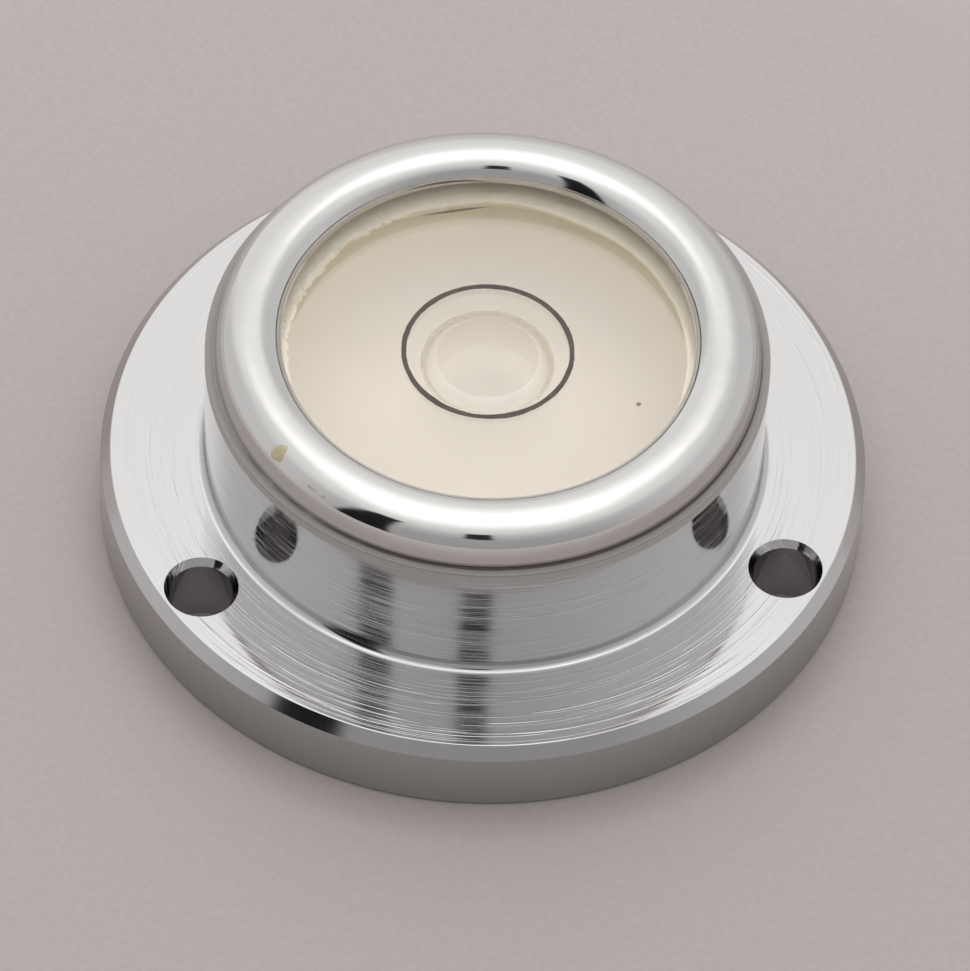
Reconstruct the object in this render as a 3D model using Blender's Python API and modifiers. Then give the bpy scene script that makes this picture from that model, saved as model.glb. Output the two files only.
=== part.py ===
"""A bullseye level: a sealed round spirit vial held in a flanged metal case with three screw holes.

The origin is the centre of the base, +Z is up, and one screw hole lies on +Y.
"""

from math import cos, pi, radians, sin, sqrt

import bmesh
import bpy
from mathutils import Matrix

MM = 0.001
FIT = 0.3 * MM
EDGE_BEVEL = 0.3 * MM

# Case: flange, wall and the ledge that carries the vial
FLANGE_DIAMETER = 57.15 * MM
FLANGE_WIDTH = 7.775 * MM
FLANGE_HEIGHT = 6.2 * MM
FLANGE_BEVEL_WIDTH = 0.76 * MM
FLANGE_BEVEL_DROP = 0.9 * MM
CASE_HEIGHT = 17.2 * MM
CASE_WALL = 1.8 * MM
RIM_BEVEL_WIDTH = 0.78 * MM
RIM_BEVEL_DROP = 0.15 * MM
FOOT_ROUND = 0.6 * MM
LEDGE_HEIGHT = 2.6 * MM
LEDGE_REACH = 5.5 * MM

# Screw holes, a little outside the middle of the flange
HOLE_COUNT = 3
HOLE_OFFSET = 0.2 * MM
HOLE_DIAMETER = 4.76 * MM
HOLE_MOUTH_BEVEL = 0.37 * MM
HOLE_MOUTH_DEPTH = 0.6 * MM

# Vial cup: the rolled rim leans in from its foot, and turns over in two parts of an ellipse to the lip
ROLL_SET_BACK = 0.95 * MM
ROLL_LEAN = 0.15 * MM
ROLL_OUTER_WIDTH = 2.5 * MM
ROLL_INNER_WIDTH = 2.02 * MM
ROLL_FOOT_HEIGHT = 1.35 * MM
ROLL_RISE = 1.62 * MM
ROLL_OUTER_ANGLE = 17.0
ROLL_LIP_ANGLE = 165.0
LIP_THICKNESS = 0.55 * MM
GLASS_SEAT_WIDTH = 1.3 * MM
GLASS_UNDER_LIP = 1.95 * MM
CUP_FLOOR = 1.4 * MM

# Glass and what seals it
GLASS_THICKNESS = 1.9 * MM
GLASS_EDGE_BEVEL = 0.25 * MM
GLASS_CURVE_RADIUS = 300.0 * MM
GASKET_THICKNESS = 0.5 * MM
CEMENT_REACH = 1.3 * MM
CEMENT_LUMP_HEIGHT = 0.3 * MM
CEMENT_LUMP_LENGTH = 1.4 * MM
BEDDING_THICKNESS = 0.4 * MM

# Printed circle under the glass, and the bubble
CIRCLE_DIAMETER = 12.75 * MM
CIRCLE_LINE = 0.34 * MM
CIRCLE_THICKNESS = 0.08 * MM
GLASS_TO_FLUID = 0.3 * MM
BUBBLE_DIAMETER = 9.9 * MM
BUBBLE_DEPTH = 1.7 * MM

# Cream dish behind the fluid
DISH_THICKNESS = 0.7 * MM
DISH_ROUND = 5.5 * MM

# Filler screw in the floor of the cup
SCREW_DIAMETER = 3.0 * MM
SCREW_HEAD_DIAMETER = 5.4 * MM
SCREW_HEAD_HEIGHT = 1.3 * MM
SCREW_SLOT_WIDTH = 0.7 * MM
SCREW_SLOT_DEPTH = 0.6 * MM
WASHER_DIAMETER = 6.0 * MM
WASHER_THICKNESS = 0.5 * MM

# How finely curves are divided, and which edges stay sharp
OUTER_STEPS = 72
INNER_STEPS = 48
SMALL_STEPS = 24
ROLL_STEPS = 8
BEAD_STEPS = 8
ROUND_STEPS = 6
HOLLOW_STEPS = 4
WELD_DISTANCE = 0.001 * MM
SHARP_ANGLE = radians(28)

# Radii that follow from the above
flange_radius = FLANGE_DIAMETER / 2
case_radius = flange_radius - FLANGE_WIDTH
case_bore_radius = case_radius - CASE_WALL
ledge_radius = case_bore_radius - LEDGE_REACH
hole_radius = HOLE_DIAMETER / 2
hole_mouth_radius = hole_radius + HOLE_MOUTH_BEVEL
hole_circle_radius = flange_radius - FLANGE_WIDTH / 2 + HOLE_OFFSET
cup_radius = case_bore_radius - FIT
roll_radius = case_radius - ROLL_SET_BACK
roll_centre_radius = roll_radius - ROLL_LEAN - ROLL_OUTER_WIDTH
lip_radius = roll_centre_radius + ROLL_INNER_WIDTH * cos(radians(ROLL_LIP_ANGLE))
glass_bore_radius = lip_radius + GLASS_UNDER_LIP + FIT
glass_radius = glass_bore_radius - FIT
cup_bore_radius = glass_bore_radius - GLASS_SEAT_WIDTH
dish_radius = cup_bore_radius - FIT
dish_bore_radius = dish_radius - DISH_THICKNESS
cement_bore_radius = dish_radius - CEMENT_REACH
glass_hollow_radius = cement_bore_radius
fluid_neck_radius = cement_bore_radius - FIT - CEMENT_LUMP_HEIGHT
fluid_radius = dish_bore_radius - FIT
filler_hole_radius = SCREW_DIAMETER / 2 + FIT

# Heights, from the ledge up to the cup's floor and from the rim down to the glass seat
bedding_base = LEDGE_HEIGHT + FIT
bedding_top = bedding_base + BEDDING_THICKNESS
cup_base = bedding_top + FIT
cup_floor_top = cup_base + CUP_FLOOR
dish_base = cup_floor_top + FIT
dish_floor = dish_base + DISH_THICKNESS
fluid_base = dish_floor + FIT
case_land = CASE_HEIGHT - RIM_BEVEL_DROP
roll_base = case_land + FIT
roll_centre_height = roll_base + ROLL_FOOT_HEIGHT
lip_height = roll_centre_height + ROLL_RISE * sin(radians(ROLL_LIP_ANGLE))
lip_underside = lip_height - LIP_THICKNESS
glass_top = lip_underside - FIT
glass_base = glass_top - GLASS_THICKNESS
gasket_top = glass_base - FIT
gasket_base = gasket_top - GASKET_THICKNESS
glass_seat = gasket_base - FIT
dish_top = glass_seat - FIT
cement_base = dish_top + FIT
fluid_neck_base = dish_top - FIT
washer_top = cup_base - FIT
washer_base = washer_top - WASHER_THICKNESS
screw_head_top = washer_base - FIT
screw_head_base = screw_head_top - SCREW_HEAD_HEIGHT


def clear_scene():
    for item in list(bpy.data.objects):
        bpy.data.objects.remove(item)


def new_collection(name):
    collection = bpy.data.collections.new(name)
    bpy.context.scene.collection.children.link(collection)
    return collection


def material(name, colour, roughness, metallic=0.0, transmission=0.0, ior=1.45):
    made = bpy.data.materials.new(name)
    made.use_nodes = True
    shader = made.node_tree.nodes["Principled BSDF"]
    shader.inputs["Base Color"].default_value = (*colour, 1.0)
    shader.inputs["Roughness"].default_value = roughness
    shader.inputs["Metallic"].default_value = metallic
    shader.inputs["Transmission Weight"].default_value = transmission
    shader.inputs["IOR"].default_value = ior
    made.diffuse_color = (*colour, 1.0)
    return made


def arc(centre, radii, start, end, steps=ROUND_STEPS):
    """Points of an ellipse's arc in (radius, height), from one angle to another in degrees."""
    points = []
    for i in range(steps + 1):
        angle = radians(start + (end - start) * i / steps)
        points.append((centre[0] + radii[0] * cos(angle), centre[1] + radii[1] * sin(angle)))
    return points


def glass_hollow(radius):
    """Height of the glass's ground underside above its flat land, at a distance from the axis."""
    depth = sqrt(GLASS_CURVE_RADIUS**2 - glass_hollow_radius**2)
    return sqrt(GLASS_CURVE_RADIUS**2 - radius**2) - depth


def hollow_curve(start, end, drop, steps=HOLLOW_STEPS):
    """The underside's curve between two distances from the axis, lowered by a drop."""
    points = []
    for i in range(steps + 1):
        radius = start + (end - start) * i / steps
        points.append((radius, glass_base + glass_hollow(radius) - drop))
    return points


def turned(name, outline, surface, collection, ring=True, steps=INNER_STEPS):
    """Turns an outline of (radius, height) points about Z. It runs clockwise, down its outer side."""
    mesh = bpy.data.meshes.new(name)
    edges = [(i, i + 1) for i in range(len(outline) - 1)]
    if ring:
        edges.append((len(outline) - 1, 0))
    mesh.from_pydata([(radius, 0, height) for radius, height in outline], edges, [])
    made = bpy.data.objects.new(name, mesh)
    collection.objects.link(made)
    screw = made.modifiers.new("Turn", "SCREW")
    screw.axis = "Z"
    screw.angle = 2 * pi
    screw.steps = steps
    screw.render_steps = steps
    screw.use_merge_vertices = True
    screw.merge_threshold = WELD_DISTANCE
    screw.use_smooth_shade = True
    make_real(made)
    if surface:
        made.data.materials.append(surface)
    return made


def make_real(item):
    """Applies an object's modifiers and shades it smooth up to the sharp edges."""
    graph = bpy.context.evaluated_depsgraph_get()
    mesh = bpy.data.meshes.new_from_object(item.evaluated_get(graph))
    item.modifiers.clear()
    old = item.data
    item.data = mesh
    mesh.name = item.name
    bpy.data.meshes.remove(old)
    mesh.shade_smooth()
    mesh.set_sharp_from_angle(angle=SHARP_ANGLE)


def hide_cutter(item):
    item.hide_render = True
    item.display_type = "WIRE"


def cut(item, cutter):
    boolean = item.modifiers.new("Cut", "BOOLEAN")
    boolean.operation = "DIFFERENCE"
    boolean.solver = "EXACT"
    boolean.object = cutter


def box_cutter(name, size, centre, cutters):
    mesh = bpy.data.meshes.new(name)
    shape = bmesh.new()
    bmesh.ops.create_cube(shape, size=1.0, matrix=Matrix.Diagonal((*size, 1.0)))
    shape.to_mesh(mesh)
    shape.free()
    cutter = bpy.data.objects.new(name, mesh)
    cutter.location = centre
    cutters.objects.link(cutter)
    hide_cutter(cutter)
    return cutter


def hole_cutter(cutters, index):
    """A drill with a tapered shoulder that opens the mouth of the hole. It runs past both faces."""
    spread = EDGE_BEVEL * HOLE_MOUTH_BEVEL / HOLE_MOUTH_DEPTH
    outline = [
        (0, FLANGE_HEIGHT + EDGE_BEVEL),
        (hole_mouth_radius + spread, FLANGE_HEIGHT + EDGE_BEVEL),
        (hole_radius, FLANGE_HEIGHT - HOLE_MOUTH_DEPTH),
        (hole_radius, -EDGE_BEVEL),
        (0, -EDGE_BEVEL),
    ]
    drill = turned(f"drill_{index + 1}", outline, None, cutters, ring=False, steps=SMALL_STEPS)
    angle = pi / 2 + 2 * pi * index / HOLE_COUNT
    drill.location = (hole_circle_radius * cos(angle), hole_circle_radius * sin(angle), 0)
    # Half a facet round, so that no corner of the drill meets an edge of the case.
    drill.rotation_euler.z = angle + pi / SMALL_STEPS
    hide_cutter(drill)
    return drill


def flanged_case(parts, cutters, surface):
    """Flange, wall and ledge, turned as one piece and drilled. The rim slopes in towards the cup."""
    foot = (case_radius + FOOT_ROUND, FLANGE_HEIGHT + FOOT_ROUND)
    outline = [
        (case_bore_radius, case_land),
        (case_radius - RIM_BEVEL_WIDTH, case_land),
        (case_radius, CASE_HEIGHT),
    ]
    outline += arc(foot, (FOOT_ROUND, FOOT_ROUND), 180, 270)
    outline += [
        (flange_radius - FLANGE_BEVEL_WIDTH, FLANGE_HEIGHT),
        (flange_radius, FLANGE_HEIGHT - FLANGE_BEVEL_DROP),
        (flange_radius, EDGE_BEVEL),
        (flange_radius - EDGE_BEVEL, 0),
        (ledge_radius + EDGE_BEVEL, 0),
        (ledge_radius, EDGE_BEVEL),
        (ledge_radius, LEDGE_HEIGHT),
        (case_bore_radius, LEDGE_HEIGHT),
    ]
    case = turned("flanged_case", outline, surface, parts, steps=OUTER_STEPS)
    for index in range(HOLE_COUNT):
        cut(case, hole_cutter(cutters, index))
    make_real(case)
    return case


def vial_cup(parts, surface):
    """Cup of the vial, with its rim rolled over the glass and a hole for the filler screw."""
    roll = (roll_centre_radius, roll_centre_height)
    outline = arc(roll, (ROLL_INNER_WIDTH, ROLL_RISE), ROLL_LIP_ANGLE, 90, ROLL_STEPS)
    outline += arc(roll, (ROLL_OUTER_WIDTH, ROLL_RISE), 90, ROLL_OUTER_ANGLE, ROLL_STEPS)[1:]
    outline += [
        (roll_radius, roll_base),
        (cup_radius, roll_base),
        (cup_radius, cup_base + EDGE_BEVEL),
        (cup_radius - EDGE_BEVEL, cup_base),
        (filler_hole_radius, cup_base),
        (filler_hole_radius, cup_floor_top),
        (cup_bore_radius, cup_floor_top),
        (cup_bore_radius, glass_seat),
        (glass_bore_radius, glass_seat),
        (glass_bore_radius, lip_underside),
        (lip_radius, lip_underside),
    ]
    return turned("vial_cup", outline, surface, parts, steps=OUTER_STEPS)


def top_glass(parts, surface):
    """Window, with its underside ground hollow so that the bubble finds the middle."""
    outline = [
        (0, glass_top),
        (glass_radius - GLASS_EDGE_BEVEL, glass_top),
        (glass_radius, glass_top - GLASS_EDGE_BEVEL),
        (glass_radius, glass_base + GLASS_EDGE_BEVEL),
        (glass_radius - GLASS_EDGE_BEVEL, glass_base),
    ]
    outline += hollow_curve(glass_hollow_radius, 0, 0)
    return turned("top_glass", outline, surface, parts, ring=False)


def printed_circle(parts, surface):
    """Black circle that the bubble is read against, in the gap under the glass."""
    outer = CIRCLE_DIAMETER / 2
    inner = outer - CIRCLE_LINE
    top_drop = (GLASS_TO_FLUID - CIRCLE_THICKNESS) / 2
    top = hollow_curve(inner, outer, top_drop, 1)
    base = hollow_curve(outer, inner, top_drop + CIRCLE_THICKNESS, 1)
    return turned("printed_circle", top + base, surface, parts)


def flat_ring(name, inner, outer, base, top, surface, parts, steps=INNER_STEPS):
    outline = [(inner, top), (outer, top), (outer, base), (inner, base)]
    return turned(name, outline, surface, parts, steps=steps)


def glass_gasket(parts, surface):
    inner = cup_bore_radius
    return flat_ring("glass_gasket", inner, glass_radius, gasket_base, gasket_top, surface, parts)


def sealing_cement(parts, surface):
    """Bead of cement in the corner under the glass, with a lumpy surface."""
    half_width = (dish_radius - cement_bore_radius) / 2
    half_height = (gasket_top - cement_base) / 2
    centre = (cement_bore_radius + half_width, cement_base + half_height)
    section = (half_width - CEMENT_LUMP_HEIGHT / 2, half_height - CEMENT_LUMP_HEIGHT / 2)
    last_angle = 180 - 360 * BEAD_STEPS / (BEAD_STEPS + 1)
    outline = arc(centre, section, 180, last_angle, BEAD_STEPS)
    bead = turned("sealing_cement", outline, surface, parts)
    lumps = bpy.data.textures.new("Cement lumps", "CLOUDS")
    lumps.noise_scale = CEMENT_LUMP_LENGTH
    displace = bead.modifiers.new("Lumps", "DISPLACE")
    displace.texture = lumps
    displace.texture_coords = "LOCAL"
    displace.strength = CEMENT_LUMP_HEIGHT
    displace.mid_level = 0.5
    make_real(bead)
    return bead


def cream_dish(parts, surface):
    """Light-coloured bowl that shows the bubble from behind."""
    outer_round = DISH_ROUND + DISH_THICKNESS
    inner = (dish_bore_radius - DISH_ROUND, dish_floor + DISH_ROUND)
    outer = (dish_radius - outer_round, dish_base + outer_round)
    outline = [(0, dish_floor)]
    outline += arc(inner, (DISH_ROUND, DISH_ROUND), 270, 360)
    outline += [(dish_bore_radius, dish_top), (dish_radius, dish_top)]
    outline += arc(outer, (outer_round, outer_round), 360, 270)
    outline += [(0, dish_base)]
    return turned("cream_dish", outline, surface, parts, ring=False)


def level_fluid(parts, surface):
    """Spirit that fills the vial. The dimple in its top is the underside of the bubble."""
    bubble_radius = BUBBLE_DIAMETER / 2
    bubble_top = glass_base + glass_hollow(bubble_radius) - GLASS_TO_FLUID
    outline = arc((0, bubble_top), (bubble_radius, BUBBLE_DEPTH), 270, 360)
    outline += hollow_curve(bubble_radius, fluid_neck_radius, GLASS_TO_FLUID)[1:]
    neck_slope = fluid_radius - fluid_neck_radius
    outline += [(fluid_neck_radius, fluid_neck_base), (fluid_radius, fluid_neck_base - neck_slope)]
    fluid_round = DISH_ROUND - FIT
    corner = (fluid_radius - fluid_round, fluid_base + fluid_round)
    outline += arc(corner, (fluid_round, fluid_round), 360, 270)
    outline += [(0, fluid_base)]
    return turned("level_fluid", outline, surface, parts, ring=False)


def bedding_ring(parts, surface):
    """Cement that sets the cup on the case's ledge."""
    inner = ledge_radius + FIT
    outer = case_bore_radius - FIT
    return flat_ring("bedding_ring", inner, outer, bedding_base, bedding_top, surface, parts)


def filler_washer(parts, surface):
    inner = filler_hole_radius
    outer = WASHER_DIAMETER / 2
    return flat_ring("filler_washer", inner, outer, washer_base, washer_top, surface, parts, SMALL_STEPS)


def filler_screw(parts, cutters, surface):
    """Slotted screw, head down, that closes the filling hole."""
    shank = SCREW_DIAMETER / 2
    head = SCREW_HEAD_DIAMETER / 2
    outline = [
        (0, cup_floor_top),
        (shank, cup_floor_top),
        (shank, screw_head_top),
        (head, screw_head_top),
        (head, screw_head_base + EDGE_BEVEL),
        (head - EDGE_BEVEL, screw_head_base),
        (0, screw_head_base),
    ]
    screw = turned("filler_screw", outline, surface, parts, ring=False, steps=SMALL_STEPS)
    slot_size = (SCREW_HEAD_DIAMETER * 2, SCREW_SLOT_WIDTH, SCREW_SLOT_DEPTH * 2)
    cut(screw, box_cutter("screw_slot", slot_size, (0, 0, screw_head_base), cutters))
    make_real(screw)
    return screw


def build():
    clear_scene()
    parts = new_collection("bullseye_level")
    cutters = new_collection("cutters")
    turned_metal = material("turned nickel plate", (0.72, 0.72, 0.71), 0.24, metallic=1.0)
    burnished_metal = material("burnished nickel plate", (0.76, 0.76, 0.74), 0.1, metallic=1.0)
    glass = material("clear glass", (1.0, 1.0, 1.0), 0.0, transmission=1.0, ior=1.5)
    fluid = material("clear spirit", (0.95, 0.96, 0.9), 0.0, transmission=1.0, ior=1.36)
    black = material("black circle paint", (0.07, 0.06, 0.05), 0.5)
    rubber = material("grey gasket rubber", (0.3, 0.28, 0.25), 0.7)
    cement = material("yellowed sealing cement", (0.62, 0.56, 0.38), 0.6)
    cream = material("cream enamel", (0.8, 0.74, 0.65), 0.45)
    plaster = material("white bedding cement", (0.75, 0.72, 0.66), 0.85)
    fibre = material("red-brown fibre", (0.32, 0.12, 0.08), 0.8)
    brass = material("brass screw", (0.68, 0.52, 0.25), 0.35, metallic=1.0)

    pieces = [
        flanged_case(parts, cutters, turned_metal),
        vial_cup(parts, burnished_metal),
        top_glass(parts, glass),
        printed_circle(parts, black),
        glass_gasket(parts, rubber),
        sealing_cement(parts, cement),
        cream_dish(parts, cream),
        level_fluid(parts, fluid),
        bedding_ring(parts, plaster),
        filler_washer(parts, fibre),
        filler_screw(parts, cutters, brass),
    ]
    base = bpy.data.objects.new("base_centre", None)
    parts.objects.link(base)
    for piece in pieces:
        piece.parent = base


build()
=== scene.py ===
"""Looks of the bullseye level: plated case, burnished rim, glass, spirit, and the photograph's studio."""

from math import cos, hypot, pi, radians, sin, sqrt, tan

import bpy
from mathutils import Matrix, Vector, noise


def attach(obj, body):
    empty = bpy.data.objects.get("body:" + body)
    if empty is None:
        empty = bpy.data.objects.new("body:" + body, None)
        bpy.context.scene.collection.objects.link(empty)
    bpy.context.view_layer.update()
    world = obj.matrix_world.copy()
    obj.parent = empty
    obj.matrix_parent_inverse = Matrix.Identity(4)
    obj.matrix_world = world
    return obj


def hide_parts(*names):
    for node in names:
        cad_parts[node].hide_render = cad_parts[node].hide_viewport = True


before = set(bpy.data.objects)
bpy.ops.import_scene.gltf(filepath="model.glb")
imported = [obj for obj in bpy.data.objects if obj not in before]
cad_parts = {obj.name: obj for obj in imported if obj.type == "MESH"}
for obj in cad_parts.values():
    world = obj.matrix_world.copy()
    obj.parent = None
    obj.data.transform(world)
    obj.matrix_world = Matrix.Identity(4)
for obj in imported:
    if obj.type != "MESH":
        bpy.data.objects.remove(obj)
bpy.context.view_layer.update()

MM = 0.001

# Sizes in millimetres, as in the part's source
FLANGE_RADIUS = 28.575
FLANGE_HEIGHT = 6.2
CHAMFER_WIDTH = 0.76
CHAMFER_DROP = 0.9
CASE_RADIUS = 20.8
CASE_BORE = 19.0
CASE_HEIGHT = 17.2
CASE_LAND = 17.05
RIM_BEVEL_WIDTH = 0.78
FOOT_ROUND = 0.6
LEDGE_RADIUS = 13.5
LEDGE_HEIGHT = 2.6
HOLE_COUNT = 3
HOLE_CIRCLE = 24.8875
HOLE_RADIUS = 2.38
HOLE_MOUTH_BEVEL = 0.37
HOLE_MOUTH_DEPTH = 0.6
CUP_RADIUS = 18.7
CUP_BASE = 3.6
CUP_BORE = 16.199
CUP_FLOOR_TOP = 5.0
FILLER_HOLE = 1.8
ROLL_RADIUS = 19.85
ROLL_BASE = 17.35
ROLL_CENTRE = (17.2, 18.7)
ROLL_OUTER_WIDTH = 2.5
ROLL_INNER_WIDTH = 2.02
ROLL_RISE = 1.62
ROLL_FLANK_ANGLE = 40.5
ROLL_LIP_ANGLE = 165.0
LIP_THICKNESS = 0.55

# Flank of the roll: length run along it, and its slope there in degrees
ROLL_FLANK = [(0.0, 38.5), (0.45, 46.5), (0.93, 61.0), (1.18, 72.0), (2.25, 77.0), (2.6, 88.0)]

GLASS_BORE = 17.499
GLASS_RADIUS = 17.199
GLASS_TOP = 18.269
GLASS_BASE = 16.369
GLASS_EDGE_BEVEL = 0.25
GLASS_CURVE_RADIUS = 300.0
GLASS_HOLLOW_RADIUS = 14.599
GLASS_TO_FLUID = 0.3
GASKET_TOP = 16.069
GLASS_SEAT = 15.269
CIRCLE_RADIUS = 6.375
CIRCLE_LINE = 0.37
CIRCLE_SUNK = 0.02
CIRCLE_DROP = 0.08
BUBBLE_RADIUS = 4.95
BUBBLE_DEPTH = 2.3
BUBBLE_SHOULDER = 1.2
BUBBLE_FLATNESS = 2.0
BUBBLE_DRIFT = 0.4
BUBBLE_DRIFT_ANGLE = radians(-95)
BUBBLE_DRIFT_FADE = 5.0
DISH_RADIUS = 15.899
DISH_BORE = 15.199
DISH_TOP = 14.969
DISH_FLOOR = 6.0
DISH_BASE = 5.3
DISH_ROUND = 5.5

# Edges of turned metal, in millimetres
EDGE = 0.1
FOOT_EDGE = 0.3

# The cement is smeared under the whole edge of the glass, and the spirit wets what holds it
CEMENT_INNER = 14.7
CEMENT_OUTER = 17.15
CEMENT_TOP = 16.24
CEMENT_CROWN = 0.2
CEMENT_SAG = 1.0
CEMENT_LUMP_ANGLE = radians(150)
WETTED = 0.3

# Dark ring on the land of the case, against the foot of the roll
SEAM_FILL_INNER = CUP_RADIUS + 0.35
SEAM_FILL_FOOT = ROLL_RADIUS - 0.04
SEAM_FILL_OUTER = ROLL_RADIUS + 0.42
SEAM_FILL_GAP = 0.01

# A hair and a speck on the underside of the glass
HAIR_START = radians(107.1)
HAIR_SWEEP = radians(-20.7)
HAIR_RADIUS = 13.91
HAIR_DRIFT = 0.11
HAIR_BOW = 0.14
HAIR_WIDTH = 0.19
HAIR_STEPS = 20
SPECK_ANGLE = radians(-26.5)
SPECK_RADIUS = 11.93
SPECK_STEP = 0.12
SPECK_WIDTH = 0.36
UNDER_GLASS = 0.02

# The studio is turned so that the camera stands on its -Y side
STUDIO_TURN = radians(5.67)

# Camera: focal length in pixels of the photograph, distances in flange radii
CAMERA_FOCAL = 7782.97
CAMERA_DISTANCE = 20.488
CAMERA_ELEVATION = radians(51.547)
CAMERA_ROLL = radians(2.677)
CAMERA_SHIFT = (-0.0101, -0.0313)
PHOTO_WIDTH = 970
SENSOR_WIDTH = 36.0

TURN_STEPS = 288
LUMPY_STEPS = 480
UNEVEN_STEPS = 360
DRILL_STEPS = 96


def mesh_object(name, points, faces, surface):
    mesh = bpy.data.meshes.new(name)
    mesh.from_pydata([[c * MM for c in point] for point in points], [], faces)
    mesh.materials.append(surface)
    made = bpy.data.objects.new(name, mesh)
    bpy.context.scene.collection.objects.link(made)
    return made


def arc(centre, radii, start, end, steps=8):
    """Points of an ellipse's arc in (radius, height), from one angle to another in degrees."""
    points = []
    for i in range(steps + 1):
        angle = radians(start + (end - start) * i / steps)
        points.append((centre[0] + radii[0] * cos(angle), centre[1] + radii[1] * sin(angle)))
    return points


def eased(corners, steps=4):
    """Outline whose corners are rounded. Each corner is (radius, height, rounding)."""
    points = []
    for i, (x, y, rounding) in enumerate(corners):
        if not rounding:
            points.append((x, y))
            continue
        here = Vector((x, y))
        back = (Vector(corners[i - 1][:2]) - here).normalized()
        ahead = (Vector(corners[(i + 1) % len(corners)][:2]) - here).normalized()
        half = back.angle(ahead) / 2
        reach = rounding / tan(half)
        centre = here + (back + ahead).normalized() * rounding / sin(half)
        first = here + back * reach - centre
        last = here + ahead * reach - centre
        for step in range(steps + 1):
            share = step / steps
            spoke = (first * (1 - share) + last * share).normalized() * rounding
            points.append(tuple(centre + spoke))
    return points


def held(outline, closed=True, gap=0.06):
    """Adds a ring close to each end of a long flat, so that smooth shading leaves the flat true."""
    points = []
    ends = outline[1:] + outline[:1] if closed else outline[1:]
    for (x, y), (u, v) in zip(outline, ends):
        points.append((x, y))
        length = hypot(u - x, v - y)
        if length > 8 * gap:
            share = gap / length
            points.append((x + (u - x) * share, y + (v - y) * share))
            points.append((u - (u - x) * share, v - (v - y) * share))
    if not closed:
        points.append(outline[-1])
    return points


def bent(start, slopes, steps=8):
    """Runs an outline down from a point, with the slope given at lengths along it."""
    x, y = start
    points = []
    for (length, slope), (next_length, next_slope) in zip(slopes, slopes[1:]):
        stride = (next_length - length) / steps
        for i in range(steps):
            angle = radians(slope + (next_slope - slope) * (i + 0.5) / steps)
            x += cos(angle) * stride
            y -= sin(angle) * stride
            points.append((x, y))
    return points


def rough(angle, place, scale):
    """Smooth noise from -1 to 1 that closes round the axis."""
    return noise.noise(Vector((cos(angle) * scale, sin(angle) * scale, place)))


def turned(name, outline, surface, steps=TURN_STEPS, closed=True, wobble=None):
    """Turns a clockwise outline of (radius, height) about Z. wobble(index, angle) shifts a point."""
    points = []
    rings = []
    for index, (radius, height) in enumerate(outline):
        count = 1 if radius < 1e-6 else steps
        first = len(points)
        rings.append([first + i % count for i in range(steps)])
        for i in range(count):
            angle = 2 * pi * i / steps
            out, rise = wobble(index, angle) if wobble else (0, 0)
            points.append(((radius + out) * cos(angle), (radius + out) * sin(angle), height + rise))
    faces = []
    pairs = list(zip(rings, rings[1:]))
    if closed:
        pairs.append((rings[-1], rings[0]))
    for upper, lower in pairs:
        for i in range(steps):
            j = (i + 1) % steps
            corners = [upper[i], lower[i], lower[j], upper[j]]
            faces.append(list(dict.fromkeys(corners)))
    made = mesh_object(name, points, [face for face in faces if len(face) > 2], surface)
    smooth(made)
    return made


def smooth(item, angle=28):
    item.data.shade_smooth()
    item.data.set_sharp_from_angle(angle=radians(angle))


def make_real(item):
    """Applies an object's modifiers and drops them."""
    graph = bpy.context.evaluated_depsgraph_get()
    mesh = bpy.data.meshes.new_from_object(item.evaluated_get(graph))
    item.modifiers.clear()
    item.data = mesh
    smooth(item)


def add_piece(item, slot, *nodes):
    """Fixes a piece to the level, instead of the CAD nodes that it stands for."""
    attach(item, "root")
    if nodes:
        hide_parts(*nodes)


def drill_holes(case, surface):
    cutters = []
    for index in range(HOLE_COUNT):
        angle = pi / 2 + 2 * pi * index / HOLE_COUNT
        spread = HOLE_MOUTH_BEVEL / HOLE_MOUTH_DEPTH
        outline = [
            (0, FLANGE_HEIGHT + 1),
            (HOLE_RADIUS + HOLE_MOUTH_BEVEL + spread, FLANGE_HEIGHT + 1),
            (HOLE_RADIUS, FLANGE_HEIGHT - HOLE_MOUTH_DEPTH),
            (HOLE_RADIUS, -1),
            (0, -1),
        ]
        drill = turned(f"drill_{index}", outline, surface, DRILL_STEPS, closed=False)
        drill.location = (HOLE_CIRCLE * MM * cos(angle), HOLE_CIRCLE * MM * sin(angle), 0)
        drill.rotation_euler.z = angle + pi / DRILL_STEPS
        boolean = case.modifiers.new("Drill", "BOOLEAN")
        boolean.operation = "DIFFERENCE"
        boolean.solver = "EXACT"
        boolean.object = drill
        cutters.append(drill)
    make_real(case)
    for drill in cutters:
        bpy.data.objects.remove(drill)


def plated_case(surface):
    """Flange and wall. The rim stays sharp, and the edges of the flange are a little broken."""
    foot = (CASE_RADIUS + FOOT_ROUND, FLANGE_HEIGHT + FOOT_ROUND)
    outline = [
        (CASE_BORE, CASE_LAND),
        (CASE_RADIUS - RIM_BEVEL_WIDTH, CASE_LAND),
        (CASE_RADIUS, CASE_HEIGHT),
    ]
    outline += arc(foot, (FOOT_ROUND, FOOT_ROUND), 180, 270)[:-1]
    outline += eased(
        [
            (CASE_RADIUS + FOOT_ROUND, FLANGE_HEIGHT, 0),
            (FLANGE_RADIUS - CHAMFER_WIDTH, FLANGE_HEIGHT, EDGE),
            (FLANGE_RADIUS, FLANGE_HEIGHT - CHAMFER_DROP, EDGE),
            (FLANGE_RADIUS, 0, FOOT_EDGE),
            (LEDGE_RADIUS, 0, FOOT_EDGE),
            (LEDGE_RADIUS, LEDGE_HEIGHT, EDGE),
            (CASE_BORE, LEDGE_HEIGHT, 0),
        ]
    )
    case = turned("plated_case", held(outline), surface)
    drill_holes(case, surface)
    add_piece(case, "turned_plate", "flanged_case")


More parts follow.
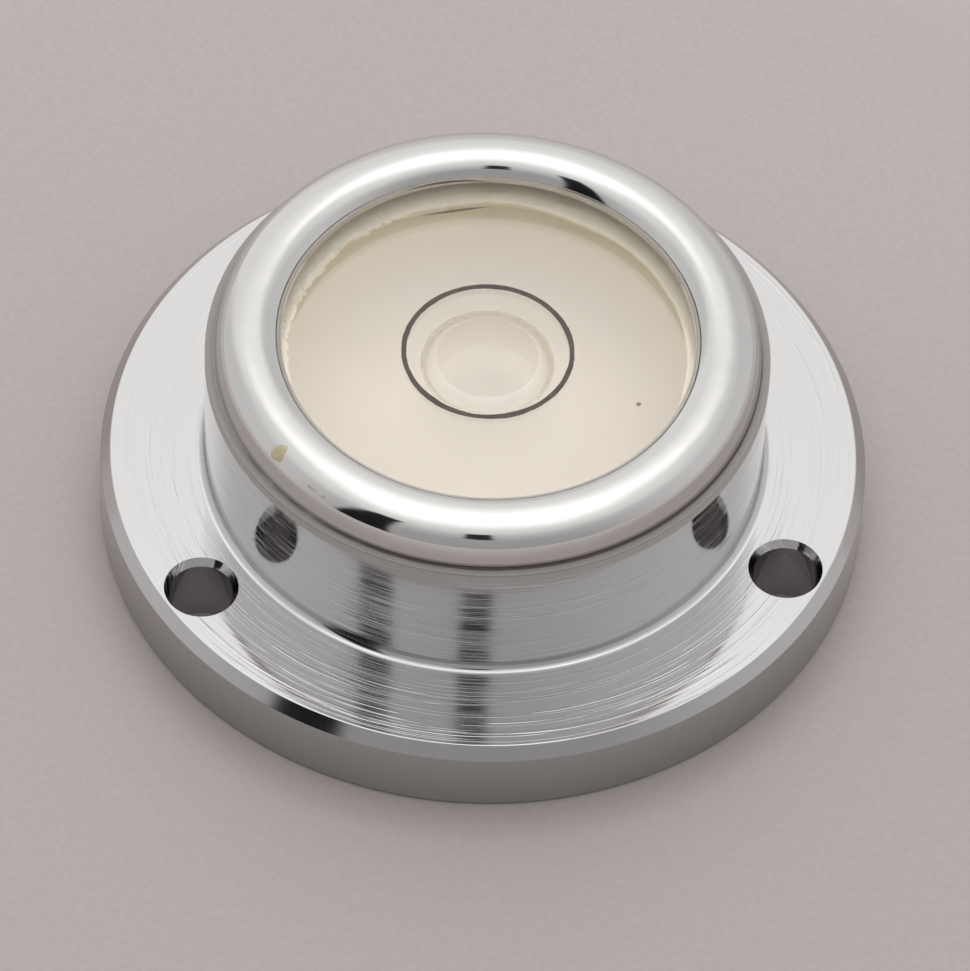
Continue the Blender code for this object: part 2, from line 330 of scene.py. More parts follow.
def burnished_cup(surface):
    """Cup with its rim rolled over the glass."""
    outline = arc(ROLL_CENTRE, (ROLL_INNER_WIDTH, ROLL_RISE), ROLL_LIP_ANGLE, 90, 40)
    outline += arc(ROLL_CENTRE, (ROLL_OUTER_WIDTH, ROLL_RISE), 90, ROLL_FLANK_ANGLE, 30)[1:]
    outline += bent(outline[-1], ROLL_FLANK)
    lip_radius, lip_height = outline[0]
    under_lip = lip_height - LIP_THICKNESS
    outline += [
        (ROLL_RADIUS, ROLL_BASE),
        (CUP_RADIUS, ROLL_BASE),
    ]
    outline += eased(
        [
            (CUP_RADIUS, ROLL_BASE, 0),
            (CUP_RADIUS, CUP_BASE, FOOT_EDGE),
            (FILLER_HOLE, CUP_BASE, 0),
        ]
    )[1:]
    outline += [
        (FILLER_HOLE, CUP_FLOOR_TOP),
        (CUP_BORE, CUP_FLOOR_TOP),
        (CUP_BORE, GLASS_SEAT),
        (GLASS_BORE, GLASS_SEAT),
        (GLASS_BORE, under_lip),
        (lip_radius, under_lip),
    ]
    cup = turned("burnished_cup", held(outline), surface)
    add_piece(cup, "burnished_plate", "vial_cup")


def underside(radius, drop=0.0):
    """A point on the glass's hollow underside, lowered by a drop."""
    depth = sqrt(GLASS_CURVE_RADIUS**2 - GLASS_HOLLOW_RADIUS**2)
    hollow = max(0.0, sqrt(GLASS_CURVE_RADIUS**2 - radius**2) - depth)
    return (radius, GLASS_BASE + hollow - drop)


def window_glass(surface):
    outline = eased(
        [
            (0, GLASS_TOP, 0),
            (GLASS_RADIUS, GLASS_TOP, GLASS_EDGE_BEVEL),
            (GLASS_RADIUS, GLASS_BASE, GLASS_EDGE_BEVEL),
            (GLASS_HOLLOW_RADIUS, GLASS_BASE, 0),
        ]
    )
    steps = 24
    outline += [underside(GLASS_HOLLOW_RADIUS * (1 - i / steps)) for i in range(1, steps + 1)]
    window = turned("window_glass", held(outline, closed=False), surface, closed=False)
    add_piece(window, "clear_glass", "top_glass")


def spirit(surface):
    """Spirit that wets the dish and the cement. The hollow in its top is the underside of the bubble."""
    half = BUBBLE_DEPTH / 2
    mouth = BUBBLE_RADIUS - BUBBLE_SHOULDER
    middle = underside(mouth, GLASS_TO_FLUID)[1] - half
    steps = 36
    outline = []
    for i in range(steps + 1):
        angle = pi / 2 * i / steps
        radius = BUBBLE_RADIUS * sin(angle) ** (2 / BUBBLE_FLATNESS)
        outline.append((radius, middle - half * max(0.0, cos(angle)) ** (2 / BUBBLE_FLATNESS)))
    outline += arc((mouth, middle), (BUBBLE_SHOULDER, half), 0, 90, 12)[1:]
    rim = DISH_BORE + WETTED
    steps = 16
    for i in range(1, steps + 1):
        outline.append(underside(mouth + (rim - mouth) * i / steps, GLASS_TO_FLUID))
    top = [radius for radius, height in outline]
    bend = (DISH_BORE - DISH_ROUND, DISH_FLOOR + DISH_ROUND)
    outline += arc(bend, (DISH_ROUND + WETTED, DISH_ROUND + WETTED), 360, 270, 24)
    outline.append((0, DISH_FLOOR - WETTED))

    def wobble(index, angle):
        """Shifts the bubble off the centre, and the top less and less away from it."""
        if index == 0 or index >= len(top):
            return (0, 0)
        reach = max(0.0, 1 - max(0.0, top[index] - BUBBLE_RADIUS) / BUBBLE_DRIFT_FADE)
        return (BUBBLE_DRIFT * reach * min(1.0, top[index]) * cos(angle - BUBBLE_DRIFT_ANGLE), 0)

    fluid = turned("spirit", outline, surface, closed=False, wobble=wobble)
    add_piece(fluid, "clear_spirit", "level_fluid")


def enamel_dish(surface):
    bend = (DISH_BORE - DISH_ROUND, DISH_FLOOR + DISH_ROUND)
    outer_round = DISH_ROUND + DISH_RADIUS - DISH_BORE
    outer_bend = (DISH_RADIUS - outer_round, DISH_BASE + outer_round)
    outline = [(0, DISH_FLOOR)]
    outline += arc(bend, (DISH_ROUND, DISH_ROUND), 270, 360, 32)
    outline += [(DISH_BORE, DISH_TOP), (DISH_RADIUS, DISH_TOP)]
    outline += arc(outer_bend, (outer_round, outer_round), 360, 270, 16)
    outline.append((0, DISH_BASE))
    dish = turned("enamel_dish", outline, surface, closed=False)
    add_piece(dish, "cream_enamel", "cream_dish")


def cement_bead(surface):
    """Cement smeared under the edge of the glass, lumpy where it shows."""
    reach = DISH_BORE - CEMENT_INNER
    middle = (DISH_BORE, CEMENT_TOP - CEMENT_CROWN)
    bead = arc(middle, (reach, CEMENT_SAG), 255, 180, 8)
    bead += arc(middle, (reach, CEMENT_CROWN), 180, 100, 6)[1:]
    top = [(DISH_BORE + 0.3 * i, CEMENT_TOP) for i in range(6)]
    base = [
        (CEMENT_OUTER, CEMENT_TOP),
        (CEMENT_OUTER, GASKET_TOP + 0.02),
        (CUP_BORE - 0.02, GASKET_TOP + 0.02),
        (CUP_BORE - 0.02, DISH_TOP - 0.05),
        (DISH_RADIUS - 0.1, DISH_TOP - 0.05),
    ]
    outline = bead + top + base
    loose = len(bead) + len(top)

    def wobble(index, angle):
        if index >= loose:
            return (0, 0)
        # The bead is roughest at the back on the left
        patch = 0.2 + 0.8 * max(0.0, cos(angle - CEMENT_LUMP_ANGLE)) ** 2
        lump = rough(angle, index * 0.22, 26) * 0.7 + rough(angle, index * 0.4, 60) * 0.4
        drift = rough(angle, 7.0, 3) * 0.5
        if index < len(bead):
            return ((lump * patch - drift) * 0.45, lump * patch * 0.12)
        return (0, lump * patch * 0.09)

    cement = turned("cement_bead", outline, surface, LUMPY_STEPS, wobble=wobble)
    add_piece(cement, "sealing_cement", "sealing_cement")


def reading_circle(surface):
    """The painted circle, a little uneven in its line, on the underside of the glass."""
    inner = CIRCLE_RADIUS - CIRCLE_LINE
    outline = [
        underside(inner, -CIRCLE_SUNK),
        underside(CIRCLE_RADIUS, -CIRCLE_SUNK),
        underside(CIRCLE_RADIUS, CIRCLE_DROP),
        underside(inner, CIRCLE_DROP),
    ]

    def wobble(index, angle):
        edge = 1 if index in (1, 2) else -1
        width = rough(angle, 2.0, 2.2) * 0.05 + rough(angle, 3.0 + edge, 16) * 0.035
        return (edge * width + rough(angle, 11.0, 9) * 0.02, 0)

    circle = turned("reading_circle", outline, surface, UNEVEN_STEPS, wobble=wobble)
    add_piece(circle, "circle_paint", "printed_circle")


def dark_seam_ring(surface):
    """Dark ring under the foot of the roll, where the cup sits in the case."""
    outline = [
        (SEAM_FILL_INNER, CASE_LAND + SEAM_FILL_GAP),
        (SEAM_FILL_INNER, ROLL_BASE - SEAM_FILL_GAP),
        (SEAM_FILL_FOOT, ROLL_BASE - SEAM_FILL_GAP),
        (SEAM_FILL_OUTER, CASE_LAND + SEAM_FILL_GAP),
    ]

    def wobble(index, angle):
        return (rough(angle, index * 1.0, 14) * 0.05, 0) if index > 1 else (0, 0)

    seam_fill = turned("dark_seam_ring", outline, surface, UNEVEN_STEPS, wobble=wobble)
    add_piece(seam_fill, "bedding_cement")


def roll_point(angle, around, lift=0.0):
    """A point on the roll: angle is about the axis, and around is about the roll's section."""
    width = ROLL_OUTER_WIDTH if around < pi / 2 else ROLL_INNER_WIDTH
    radius = ROLL_CENTRE[0] + (width + lift) * cos(around)
    height = ROLL_CENTRE[1] + (ROLL_RISE + lift) * sin(around)
    return (radius * cos(angle), radius * sin(angle), height)


def blob(name, surface, angle, around, size, thickness, seed):
    """A flat dried drop on the roll. Angles are in degrees, and size is along and up the roll."""
    rings, spokes = 7, 40
    middle, start = radians(angle), radians(around)
    points = [roll_point(middle, start, thickness)]
    faces = []
    for ring in range(1, rings + 1):
        share = ring / rings
        swell = 1 + 0.3 * noise.noise(Vector((share * 3, seed, 1)))
        lift = thickness * (1 - share**2) ** 0.5 * swell
        lift = lift if ring < rings else -0.03
        for i in range(spokes):
            turn = 2 * pi * i / spokes
            edge = 1 + 0.3 * noise.noise(Vector((cos(turn) * 1.3, sin(turn) * 1.3, seed)))
            along = share * edge * size[0] / 2 * cos(turn) / ROLL_RADIUS
            up = share * edge * size[1] / 2 * sin(turn) / ROLL_RISE
            points.append(roll_point(middle + along, start + up, lift))
    for i in range(spokes):
        faces.append([0, 1 + i, 1 + (i + 1) % spokes])
    for ring in range(rings - 1):
        first = 1 + ring * spokes
        for i in range(spokes):
            j = (i + 1) % spokes
            faces.append([first + i, first + spokes + i, first + spokes + j, first + j])
    last = 1 + (rings - 1) * spokes
    faces.append([last + i for i in reversed(range(spokes))])
    made = mesh_object(name, points, faces, surface)
    smooth(made, 60)
    add_piece(made, "sealing_cement")


def hair(name, surface, path, width, slot):
    """A thin dark line, as a tube through the points of a path."""
    sides = 8
    points = []
    faces = []
    for index, point in enumerate(path):
        before = Vector(path[max(index - 1, 0)])
        after = Vector(path[min(index + 1, len(path) - 1)])
        along = (after - before).normalized()
        across = along.cross(Vector((0, 0, 1))).normalized()
        taper = max(0.15, sin(pi * (index + 0.5) / len(path))) * width / 2
        for i in range(sides):
            turn = 2 * pi * i / sides
            offset = across * cos(turn) * taper + Vector((0, 0, 1)) * sin(turn) * taper
            points.append(tuple(Vector(point) + offset))
    for index in range(len(path) - 1):
        for i in range(sides):
            j = (i + 1) % sides
            first = index * sides
            faces.append([first + i, first + sides + i, first + sides + j, first + j])
    faces.append(list(range(sides)))
    faces.append([len(points) - 1 - i for i in range(sides)])
    made = mesh_object(name, points, faces, surface)
    smooth(made, 60)
    add_piece(made, slot)


class Shader:
    """Small helper that adds nodes to a material or world and joins them."""

    def __init__(self, owner):
        owner.use_nodes = True
        self.tree = owner.node_tree

    def node(self, kind, **settings):
        made = self.tree.nodes.new(kind)
        for key, value in settings.items():
            setattr(made, key, value)
        return made

    def join(self, source, target):
        self.tree.links.new(source, target)

    def principled(self, socket):
        return self.tree.nodes["Principled BSDF"].inputs[socket]

    def math(self, operation, first, second=None, third=None):
        made = self.node("ShaderNodeMath", operation=operation)
        for socket, value in zip(made.inputs, (first, second, third)):
            if value is None:
                continue
            if isinstance(value, (int, float)):
                socket.default_value = value
            else:
                self.join(value, socket)
        return made.outputs[0]

    def ramp(self, value, stops):
        """A grey for each value from 0 to 1."""
        made = self.node("ShaderNodeValToRGB")
        elements = made.color_ramp.elements
        while len(elements) < len(stops):
            elements.new(0.5)
        for element, (place, colour) in zip(elements, stops):
            element.position = place
            element.color = (colour, colour, colour, 1.0)
        self.join(value, made.inputs[0])
        return made.outputs[0]

    def step(self, value, low, high):
        """0 below low, 1 above high and smooth between them."""
        made = self.node("ShaderNodeMapRange", interpolation_type="SMOOTHSTEP")
        self.join(value, made.inputs["Value"])
        made.inputs["From Min"].default_value = low
        made.inputs["From Max"].default_value = high
        return made.outputs[0]

    def fade(self, value, low, high):
        """1 below low, 0 above high and smooth between them."""
        return self.math("SUBTRACT", 1.0, self.step(value, low, high))

    def blend(self, share, first, second):
        """Goes from the first colour to the second."""
        made = self.node("ShaderNodeMix", data_type="RGBA")
        self.join(share, made.inputs[0])
        for socket, value in ((made.inputs[6], first), (made.inputs[7], second)):
            if isinstance(value, tuple):
                socket.default_value = (*value, 1.0)
            else:
                self.join(value, socket)
        return made.outputs[2]

    def place(self):
        """X, Y, Z and distance from the axis, in millimetres."""
        scaled = self.node("ShaderNodeVectorMath", operation="SCALE")
        self.join(self.node("ShaderNodeTexCoord").outputs["Object"], scaled.inputs[0])
        scaled.inputs["Scale"].default_value = 1 / MM
        split = self.node("ShaderNodeSeparateXYZ")
        self.join(scaled.outputs[0], split.inputs[0])
        x, y, z = split.outputs
        squares = [self.math("MULTIPLY", side, side) for side in (x, y)]
        radius = self.math("SQRT", self.math("ADD", *squares))
        return x, y, z, radius

    def noise(self, vector, scale, detail=2.0):
        made = self.node("ShaderNodeTexNoise")
        made.inputs["Scale"].default_value = scale
        made.inputs["Detail"].default_value = detail
        self.join(vector, made.inputs["Vector"])
        return made.outputs["Fac"]

    def vector(self, x, y, z):
        made = self.node("ShaderNodeCombineXYZ")
        for socket, value in zip(made.inputs, (x, y, z)):
            if isinstance(value, (int, float)):
                socket.default_value = value
            else:
                self.join(value, socket)
        return made.outputs[0]

    def grain(self, scale, detail=2.0):
        """Noise of so many patches to the millimetre."""
        x, y, z, radius = self.place()
        return self.noise(self.vector(x, y, z), scale, detail)

    def along_turning(self, fineness, spread, shift=0.0):
        """Noise drawn out round the axis, as the lathe and the polish leave it."""
        x, y, z, radius = self.place()
        across = self.math("MULTIPLY_ADD", self.math("ADD", radius, z), fineness, shift)
        around = [self.math("MULTIPLY", self.math("DIVIDE", side, radius), spread) for side in (x, y)]
        return self.noise(self.vector(*around, across), 1.0, 2.0)

    def bump(self, height, depth, below=None):
        """Relief, in millimetres."""
        made = self.node("ShaderNodeBump")
        made.inputs["Distance"].default_value = depth * MM
        self.join(height, made.inputs["Height"])
        if below is not None:
            self.join(below, made.inputs["Normal"])
        return made.outputs[0]


def material(name, colour, roughness, metallic=0.0, **others):
    made = bpy.data.materials.new(name)
    made.use_nodes = True
    shader = made.node_tree.nodes["Principled BSDF"]
    shader.inputs["Base Color"].default_value = (*colour, 1.0)
    shader.inputs["Roughness"].default_value = roughness
    shader.inputs["Metallic"].default_value = metallic
    for key, value in others.items():
        shader.inputs[key.replace("_", " ")].default_value = value
    return made


PLATE = (0.58, 0.578, 0.58)
# Darker plate for the outer edge of the flange: painted shade
PLATE_EDGE_SHADE = (0.50, 0.492, 0.495)
BURNISHED = (0.63, 0.625, 0.62)
DULL = (0.33, 0.312, 0.302)
# Lighter copy of the dull tone for the upright side of the band: painted light
DULL_SIDE_LIGHT = (0.44, 0.415, 0.40)
DULL_FROM = 16.3
EDGE_SHADE_RADII = (27.75, 27.9)


def turned_plate():
    """Bright plate over turned metal: tool marks, scratches, a dull band at the rim, painted shade on the
    flange's outer edge and painted light on the band's upright side.
    """
    made = material("turned_plate", PLATE, 0.1, 1.0)
    s = Shader(made)
    x, y, z, radius = s.place()
    dull = s.step(z, DULL_FROM - 0.08, DULL_FROM + 0.08)
    # The upright side of the dull band gets a lighter copy of its tone: painted light
    shade = s.blend(s.step(z, CASE_LAND - 0.05, CASE_LAND + 0.05), DULL_SIDE_LIGHT, DULL)
    # Past these radii the flange's chamfer and side are painted darker: painted shade
    plate = s.blend(s.step(radius, *EDGE_SHADE_RADII), PLATE, PLATE_EDGE_SHADE)
    s.join(s.blend(dull, plate, shade), s.principled("Base Color"))
    s.join(s.math("SUBTRACT", 1.0, dull), s.principled("Metallic"))
    worn = s.math("MULTIPLY_ADD", s.along_turning(2.5, 2.0, 80.0), 0.16, 0.01)
    s.join(s.math("MAXIMUM", worn, s.math("MULTIPLY", dull, 0.55)), s.principled("Roughness"))
    relief = s.bump(s.along_turning(5.0, 1.5), 0.002)
    fine = s.step(s.along_turning(7.0, 1.2, 20.0), 0.58, 0.65)
    coarse = s.step(s.along_turning(2.6, 1.5, 40.0), 0.60, 0.67)
    relief = s.bump(fine, 0.0035, relief)
    s.join(s.bump(coarse, 0.007, relief), s.principled("Normal"))
    return made


def burnished_plate():
    """Rolled and burnished metal, a little uneven under the light."""
    made = material("burnished_plate", BURNISHED, 0.07, 1.0)
    s = Shader(made)
    s.join(s.math("MULTIPLY_ADD", s.grain(0.5), 0.07, 0.035), s.principled("Roughness"))
    relief = s.bump(s.grain(0.32, 1.0), 0.035)
    s.join(s.bump(s.along_turning(2.2, 2.0), 0.002, relief), s.principled("Normal"))
    return made


GLASS_TINT = (1.0, 1.0, 1.0)
GLASS_IOR = 1.5
SPIRIT_TINT = (0.995, 0.993, 0.985)
SPIRIT_IOR = 1.36


def clear_material(name, colour, ior):
    """Refracts what is seen through it, and lets the light of lamps and walls straight in."""
    made = material(name, colour, 0.0, Transmission_Weight=1.0, IOR=ior)
    s = Shader(made)
    paths = s.node("ShaderNodeLightPath")
    through = s.math("MAXIMUM", paths.outputs["Is Shadow Ray"], paths.outputs["Is Diffuse Ray"])
    clear = s.node("ShaderNodeBsdfTransparent")
    clear.inputs[0].default_value = (*colour, 1.0)
    mix = s.node("ShaderNodeMixShader")
    s.join(through, mix.inputs[0])
    s.join(s.tree.nodes["Principled BSDF"].outputs[0], mix.inputs[1])
    s.join(clear.outputs[0], mix.inputs[2])
    s.join(mix.outputs[0], s.tree.nodes["Material Output"].inputs["Surface"])
    return made


def mottled(name, first, second, roughness, scale, relief=0.0, metallic=0.0):
    """Two tones of a colour in patches, so many to the millimetre, with a fine relief."""
    made = material(name, first, roughness, metallic)
    s = Shader(made)
    patches = s.grain(scale, 3.0)
    s.join(s.blend(s.step(patches, 0.35, 0.65), first, second), s.principled("Base Color"))
    if relief:
        s.join(s.bump(s.grain(scale * 2.5, 3.0), relief), s.principled("Normal"))
    return made


# Finishes in two tones: the tones, the roughness, patches to the millimetre, relief, and metal
FINISHES = {
    "circle_paint": ((0.036, 0.021, 0.010), (0.062, 0.040, 0.024), 0.6, 1.2),
    "gasket_rubber": ((0.12, 0.11, 0.09), (0.09, 0.08, 0.07), 0.7, 1.0),
    "bedding_cement": ((0.62, 0.59, 0.52), (0.52, 0.49, 0.42), 0.85, 0.8, 0.06),
    "fibre": ((0.12, 0.035, 0.02), (0.17, 0.055, 0.03), 0.8, 3.0, 0.02),
    "screw_brass": ((0.60, 0.42, 0.17), (0.52, 0.35, 0.14), 0.35, 0.6, 0.004, 1.0),
    "dried_cement": ((0.42, 0.37, 0.24), (0.52, 0.47, 0.33), 0.35, 1.0, 0.03),
    "smeared_cement": ((0.36, 0.35, 0.33), (0.50, 0.48, 0.45), 0.5, 1.5, 0.03),
    "dark_specks": ((0.16, 0.11, 0.07), (0.22, 0.15, 0.09), 0.7, 3.0),
    "brown_speck": ((0.36, 0.24, 0.14), (0.44, 0.30, 0.19), 0.7, 3.0),
    "pale_floor": ((0.456, 0.414, 0.412), (0.433, 0.393, 0.391), 0.7, 2.0),
}


def finish(name):
    """Makes the material of that name from the table."""
    return mottled(name, *FINISHES[name])


CREAM = (0.75, 0.684, 0.60)
# Darker cream for the front of the dish: painted shade
CREAM_FRONT_SHADE = (0.655, 0.598, 0.522)
# Darker cream under the bubble: painted shadow of the bubble
CREAM_BUBBLE_SHADOW = (0.63, 0.572, 0.49)
TANNED = (0.79, 0.715, 0.52)


def cream_enamel():
    """Cream enamel, yellowed towards its upper edge, with painted shade at the front and a painted shadow
    of the bubble in the middle.
    """
    made = material("cream_enamel", CREAM, 0.45)
    s = Shader(made)
    x, y, z, radius = s.place()
    uneven = s.math("MULTIPLY_ADD", s.grain(0.25), 3.0, -1.5)
    share = s.step(s.math("ADD", z, uneven), 7.0, 13.5)
    # Painted shade: darker towards the front
    cream = s.blend(s.fade(y, -7, 5), CREAM, CREAM_FRONT_SHADE)
    # Painted shadow of the bubble, in the middle of the floor
    middle = s.math("MULTIPLY", s.fade(radius, 2.5, 6.5), s.fade(z, 6.5, 8.0))
    bowl = s.blend(middle, cream, CREAM_BUBBLE_SHADOW)
    s.join(s.blend(share, bowl, TANNED), s.principled("Base Color"))
    return made


CEMENT_DARK = (0.92, 0.84, 0.65)
CEMENT_PALE = (0.95, 0.88, 0.71)
CEMENT_CRUMB = (0.97, 0.93, 0.80)


def cement():
    """Yellowed cement with paler crumbs on its -X side."""
    made = material("sealing_cement", (0.55, 0.49, 0.34), 0.75)
    s = Shader(made)
    x, y, z, radius = s.place()
    base = s.blend(s.step(s.grain(0.5, 3.0), 0.35, 0.65), CEMENT_DARK, CEMENT_PALE)
    crumbs = s.math("MULTIPLY", s.step(s.grain(1.5, 4.0), 0.56, 0.66), s.fade(x, -9, 3))
    s.join(s.blend(crumbs, base, CEMENT_CRUMB), s.principled("Base Color"))
    s.join(s.bump(s.grain(2.5, 3.0), 0.05), s.principled("Normal"))
    return made


# Tones of the dark ring in the crease under the roll
SEAM_DARK = (0.13, 0.10, 0.08)
SEAM_PALE = (0.42, 0.40, 0.37)


def seam_fill():
    """Dark brown, darkest at the front on the right, and paler towards the back on the left."""
    made = material("dark_seam_ring", (0.05, 0.035, 0.025), 0.8)
    s = Shader(made)
    x, y, z, radius = s.place()
    across = s.math("ADD", s.math("MULTIPLY", x, 0.5), s.math("MULTIPLY", y, -0.85))
    side = s.math("DIVIDE", across, radius)
    share = s.step(s.math("ADD", side, s.grain(0.5)), 0.2, 1.1)
    # Darkest towards the front on the right, paler round the back
    s.join(s.blend(share, SEAM_PALE, SEAM_DARK), s.principled("Base Color"))
    return made


FLOOR_REACH = 900
FLOOR_HEIGHT = -0.02
# Lighter floor far from the level: painted light
FLOOR_FAR_LIGHT = (0.60, 0.56, 0.55)
FLOOR_BLEND = (55, 95)
# Darkening towards the front: painted shade
FLOOR_FRONT_SHADE = 0.07


def floor():
    """Pale floor with painted shade towards the front, and painted light that makes it lighter far from
    the level.
    """
    signs = ((-1, -1), (1, -1), (1, 1), (-1, 1))
    corners = [(FLOOR_REACH * x, FLOOR_REACH * y, FLOOR_HEIGHT) for x, y in signs]
    surface = finish("pale_floor")
    s = Shader(surface)
    x, y, z, radius = s.place()
    near = s.principled("Base Color").links[0].from_socket
    # Painted shade towards the front
    front = s.math("MULTIPLY", s.fade(y, -50, 40), FLOOR_FRONT_SHADE)
    near = s.blend(front, near, (0.0, 0.0, 0.0))
    # Painted light: lighter far from the level
    s.join(s.blend(s.step(radius, *FLOOR_BLEND), near, FLOOR_FAR_LIGHT), s.principled("Base Color"))
    mesh_object("floor", corners, [[0, 1, 2, 3]], surface)


# The studio's light by direction, as a strength. Heights are sines of the elevation
TENT = [(0.0, 0.45), (0.115, 0.48), (0.2, 0.575), (0.35, 0.72), (0.5, 0.79), (1.0, 0.77)]
ZENITH_LIGHT = 0.36
BEHIND_LIGHT = 0.26
BOX_LIGHT = 1.75
STUDIO_TINT = (1.0, 0.985, 0.97)

# Dark cards: azimuth of the middle, half the width, lowest and highest point, and darkness.
# Card B grows narrower towards its top, and both fade out over their edges
CARD_A_MIDDLE = 0
CARD_A_WIDTH = radians(6.5)
CARD_A_RISE = (0.63, 0.825)
CARD_A_DARK = 0.95
CARD_B_MIDDLE = radians(-42)
CARD_B_WIDTH = 0.19
CARD_B_TAPER = -0.08
CARD_B_RISE = (-0.2, 0.815)
CARD_B_DARK = 0.97
CARD_EDGE = radians(2)
CARD_END = 0.02

# Lamp: energy, angle that it fills, and elevation
LAMP_LIGHT = 0.45
LAMP_SPREAD = radians(35)
LAMP_ELEVATION = radians(52)


def dark_card(s, azimuth, z, middle, half_width, rise):
    """1 inside a patch of sky, which lies between two azimuths and two heights."""
    off = s.math("ABSOLUTE", s.math("SUBTRACT", azimuth, middle))
    inside = s.fade(s.math("SUBTRACT", off, half_width), -CARD_EDGE, CARD_EDGE)
    above = s.step(z, rise[0] - CARD_END, rise[0] + CARD_END)
    below = s.fade(z, rise[1] - CARD_END, rise[1] + CARD_END)
    return s.math("MULTIPLY", inside, s.math("MULTIPLY", above, below))


def studio_world():
    """Pale tent with a wide soft light overhead and two dark things on the camera's side."""
    world = bpy.data.worlds.new("studio")
    bpy.context.scene.world = world
    s = Shader(world)
    background = s.tree.nodes["Background"]
    turn = s.node("ShaderNodeVectorRotate", rotation_type="Z_AXIS")
    turn.inputs["Angle"].default_value = STUDIO_TURN
    s.join(s.node("ShaderNodeTexCoord").outputs["Generated"], turn.inputs["Vector"])
    split = s.node("ShaderNodeSeparateXYZ")
    s.join(turn.outputs[0], split.inputs[0])
    x, y, z = split.outputs

    # Tent: dim on the camera's side, brighter overhead and behind the level on the left
    depth = s.math("MULTIPLY_ADD", y, 0.5, 0.5)
    tent = s.ramp(depth, TENT)
    tent = s.math("MULTIPLY_ADD", s.step(z, 0.52, 1.0), ZENITH_LIGHT, tent)
    behind = s.math("MULTIPLY", s.step(x, -0.78, -0.55), s.fade(x, 0.1, 0.4))
    far = s.math("MULTIPLY", s.step(y, 0.3, 0.6), s.fade(y, 0.88, 1.0))
    tent = s.math("MULTIPLY_ADD", s.math("MULTIPLY", behind, far), BEHIND_LIGHT, tent)

    # Wide soft light overhead
    deep = s.math("MULTIPLY", s.step(y, -0.38, 0.08), s.fade(y, 0.38, 0.66))
    wide = s.fade(s.math("ABSOLUTE", x), 0.2, 0.49)
    box = s.math("MULTIPLY", s.math("MULTIPLY", deep, wide), s.step(z, 0.0, 0.3))

    # Dark things, seen only as reflections
    azimuth = s.math("ARCTAN2", x, s.math("MULTIPLY", y, -1.0))
    width_b = s.math("MULTIPLY_ADD", z, CARD_B_TAPER, CARD_B_WIDTH)
    card_a = dark_card(s, azimuth, z, CARD_A_MIDDLE, CARD_A_WIDTH, CARD_A_RISE)
    card_b = dark_card(s, azimuth, z, CARD_B_MIDDLE, width_b, CARD_B_RISE)
    card_a = s.math("MULTIPLY", card_a, CARD_A_DARK)
    card_b = s.math("MULTIPLY", card_b, CARD_B_DARK)
    dark = s.math("MAXIMUM", card_a, card_b)

    light = s.math("MULTIPLY", tent, s.math("SUBTRACT", 1.0, dark))
    light = s.math("MULTIPLY", light, s.math("SUBTRACT", 1.0, box))
    total = s.math("ADD", light, s.math("MULTIPLY", box, BOX_LIGHT))
    s.join(total, background.inputs["Strength"])
    background.inputs["Color"].default_value = (*STUDIO_TINT, 1.0)


def lamp():
    """Soft lamp high on the far side, for the shadow on the near side. The metal doesn't show it."""
    data = bpy.data.lights.new("far_lamp", "SUN")
    data.energy = LAMP_LIGHT
    data.angle = LAMP_SPREAD
    made = bpy.data.objects.new("far_lamp", data)
    tilt = Matrix.Rotation(LAMP_ELEVATION - pi / 2, 4, "X")
    made.matrix_world = Matrix.Rotation(-STUDIO_TURN, 4, "Z") @ tilt
    made.visible_glossy = False
    bpy.context.scene.collection.objects.link(made)


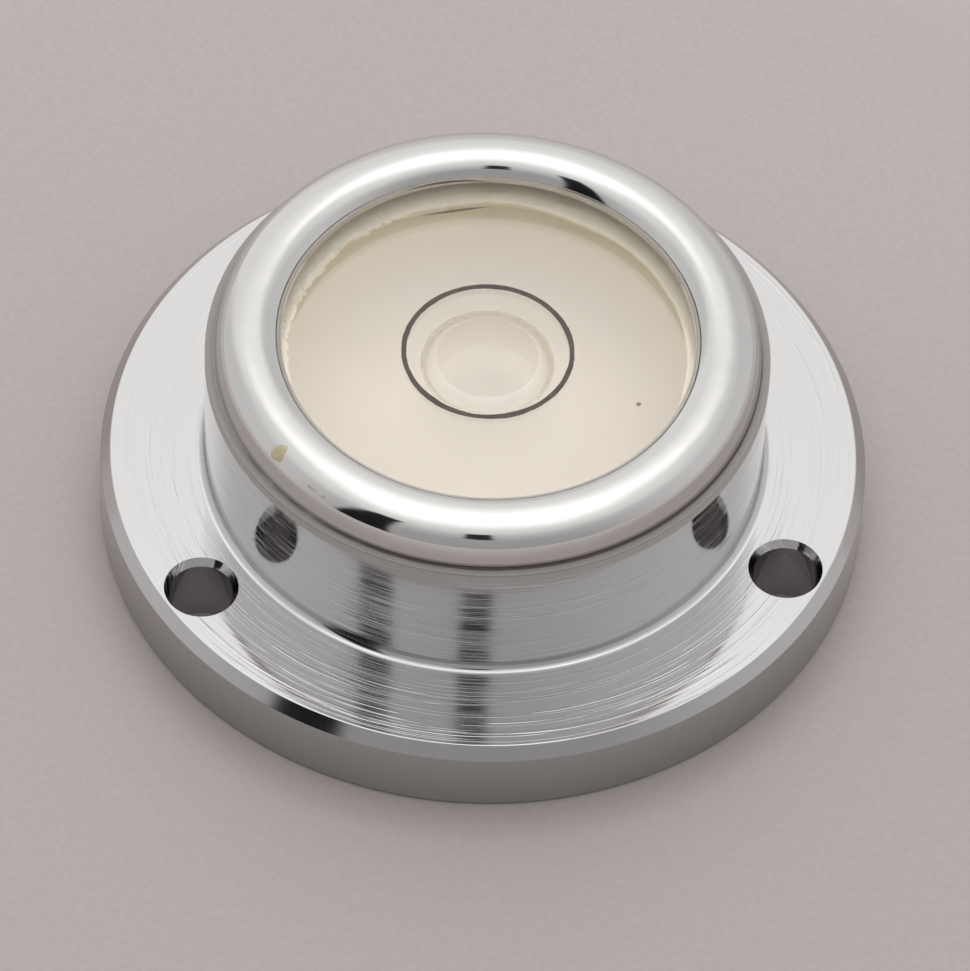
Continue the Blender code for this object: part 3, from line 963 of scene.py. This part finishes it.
def camera():
    """Camera fitted to the photograph."""
    back = Vector((0, -cos(CAMERA_ELEVATION), sin(CAMERA_ELEVATION)))
    level = Vector((1, 0, 0))
    rise = Vector((0, sin(CAMERA_ELEVATION), cos(CAMERA_ELEVATION)))
    right = level * cos(CAMERA_ROLL) + rise * sin(CAMERA_ROLL)
    up = rise * cos(CAMERA_ROLL) - level * sin(CAMERA_ROLL)
    place = back * CAMERA_DISTANCE - right * CAMERA_SHIFT[0] - up * CAMERA_SHIFT[1]
    pose = Matrix((right, up, back)).transposed().to_4x4()
    pose.translation = place * (FLANGE_RADIUS * MM)
    data = bpy.data.cameras.new("photo_camera")
    data.sensor_fit = "HORIZONTAL"
    data.sensor_width = SENSOR_WIDTH
    data.lens = CAMERA_FOCAL / PHOTO_WIDTH * SENSOR_WIDTH
    data.clip_start = 0.05
    data.clip_end = 10.0
    made = bpy.data.objects.new("photo_camera", data)
    made.matrix_world = Matrix.Rotation(-STUDIO_TURN, 4, "Z") @ pose
    bpy.context.scene.collection.objects.link(made)
    bpy.context.scene.camera = made


def dress(name, surface):
    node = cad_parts[name]
    node.data.materials.clear()
    node.data.materials.append(surface)


def marks():
    """Dried drop and smears on the roll, and a hair and a speck on the underside of the glass."""
    drop = finish("dried_cement")
    smear = finish("smeared_cement")
    blob("cement_drop", drop, angle=-145.9, around=33, size=(1.25, 1.35), thickness=0.09, seed=4.0)
    blob("cement_smear_1", smear, angle=-134.6, around=24, size=(1.0, 0.35), thickness=0.05, seed=9.0)
    blob("cement_smear_2", smear, angle=-131.5, around=22, size=(0.6, 0.3), thickness=0.05, seed=12.0)
    path = []
    for i in range(HAIR_STEPS + 1):
        share = i / HAIR_STEPS
        angle = HAIR_START + HAIR_SWEEP * share
        radius = HAIR_RADIUS + HAIR_DRIFT * share - HAIR_BOW * sin(pi * share)
        height = underside(radius, UNDER_GLASS)[1]
        path.append((radius * cos(angle), radius * sin(angle), height))
    hair("dark_hair", finish("dark_specks"), path, HAIR_WIDTH, "circle_paint")
    x, y = SPECK_RADIUS * cos(SPECK_ANGLE), SPECK_RADIUS * sin(SPECK_ANGLE)
    height = underside(SPECK_RADIUS, UNDER_GLASS)[1]
    spot = [(x + SPECK_STEP * i, y, height) for i in range(-1, 3)]
    hair("brown_speck", finish("brown_speck"), spot, SPECK_WIDTH, "circle_paint")


def main():
    bpy.context.scene.view_settings.view_transform = "Standard"
    plated_case(turned_plate())
    burnished_cup(burnished_plate())
    window_glass(clear_material("clear_glass", GLASS_TINT, GLASS_IOR))
    spirit(clear_material("clear_spirit", SPIRIT_TINT, SPIRIT_IOR))
    enamel_dish(cream_enamel())
    cement_bead(cement())
    reading_circle(finish("circle_paint"))
    dark_seam_ring(seam_fill())
    marks()
    dress("glass_gasket", finish("gasket_rubber"))
    dress("bedding_ring", finish("bedding_cement"))
    dress("filler_washer", finish("fibre"))
    dress("filler_screw", finish("screw_brass"))
    floor()
    studio_world()
    lamp()
    camera()


main()
